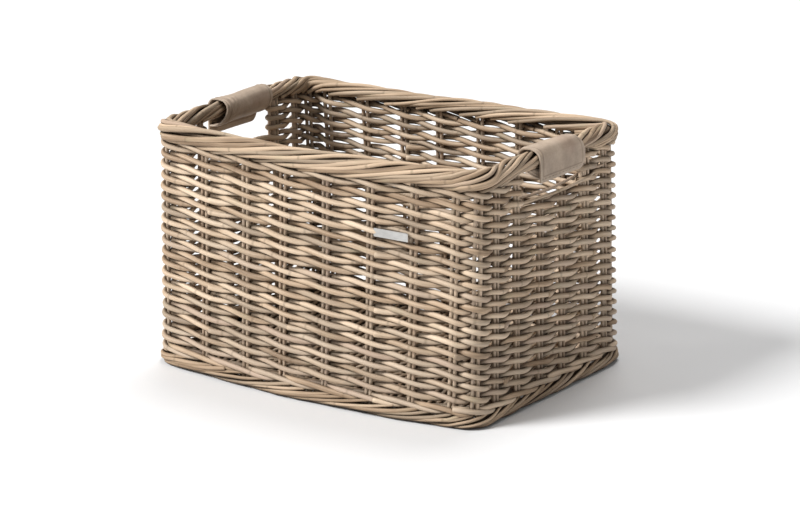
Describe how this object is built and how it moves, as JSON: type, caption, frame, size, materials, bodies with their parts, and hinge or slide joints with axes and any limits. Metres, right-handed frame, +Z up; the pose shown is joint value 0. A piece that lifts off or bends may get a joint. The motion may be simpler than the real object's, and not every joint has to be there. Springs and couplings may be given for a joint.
{
  "type": "wicker log basket",
  "caption": "Rectangular open-topped wicker basket with rolled borders, a hand hole in each end and loose leather sleeves on the handle bars.",
  "frame": {"origin": "centre of the foot's outer box on the floor that the basket stands on", "axes": "+X along the basket's length towards the right end, +Y from the bowed front to the back, +Z up"},
  "size_m": [0.4614, 0.3425, 0.2902],
  "materials": {
    "woven_rattan": "matt weathered grey-brown rattan rods, twined",
    "stake_rattan": "matt weathered rattan rods, darker between the rows",
    "border_rattan": "matt weathered rattan rods, laid as a rope",
    "leather": "soft taupe leather with a faint grain and turned edges",
    "thread": "waxed thread in the leather's colour",
    "tag_metal": "plain satin plate, nothing on it"
  },
  "bodies": {
    "basket": {"back_left_post": "stake_rattan", "back_left_weave": "woven_rattan", "back_right_post": "stake_rattan", "back_right_weave": "woven_rattan", "back_stake_1": "stake_rattan", "back_stake_2": "stake_rattan", "back_stake_3": "stake_rattan", "back_stake_4": "stake_rattan", "back_stake_5": "stake_rattan", "back_stake_6": "stake_rattan", "back_stake_7": "stake_rattan", "back_weave": "woven_rattan", "base_sticks": "stake_rattan", "base_weave": "woven_rattan", "foot_back": "border_rattan", "foot_front": "border_rattan", "foot_left": "border_rattan", "foot_right": "border_rattan", "front_left_post": "stake_rattan", "front_left_weave": "woven_rattan", "front_right_post": "stake_rattan", "front_right_weave": "woven_rattan", "front_stake_1": "stake_rattan", "front_stake_2": "stake_rattan", "front_stake_3": "stake_rattan", "front_stake_4": "stake_rattan", "front_stake_5": "stake_rattan", "front_stake_6": "stake_rattan", "front_stake_7": "stake_rattan", "front_weave": "woven_rattan", "left_handle_bar": "border_rattan", "left_stake_1": "stake_rattan", "left_stake_2": "stake_rattan", "left_stake_3": "stake_rattan", "left_stake_4": "stake_rattan", "left_stake_5": "stake_rattan", "left_stake_6": "stake_rattan", "left_weave": "woven_rattan", "metal_tag": "tag_metal", "right_handle_bar": "border_rattan", "right_stake_1": "stake_rattan", "right_stake_2": "stake_rattan", "right_stake_3": "stake_rattan", "right_stake_4": "stake_rattan", "right_stake_5": "stake_rattan", "right_stake_6": "stake_rattan", "right_weave": "woven_rattan", "rim_back": "border_rattan", "rim_back_left": "border_rattan", "rim_back_right": "border_rattan", "rim_front": "border_rattan", "rim_front_left": "border_rattan", "rim_front_right": "border_rattan"},
    "left_grip": {"left_sleeve": "leather", "left_stitching": "thread"},
    "right_grip": {"right_sleeve": "leather", "right_stitching": "thread"}
  },
  "joints": [
    {"name": "left_grip_swing", "type": "hinge", "parent": "basket", "child": "left_grip", "pos_m": [-0.2175, 0.016, 0.277], "axis": [0, 1, 0], "range_deg": [-8, 8]},
    {"name": "right_grip_swing", "type": "hinge", "parent": "basket", "child": "right_grip", "pos_m": [0.2175, 0.016, 0.277], "axis": [0, 1, 0], "range_deg": [-8, 8]}
  ]
}
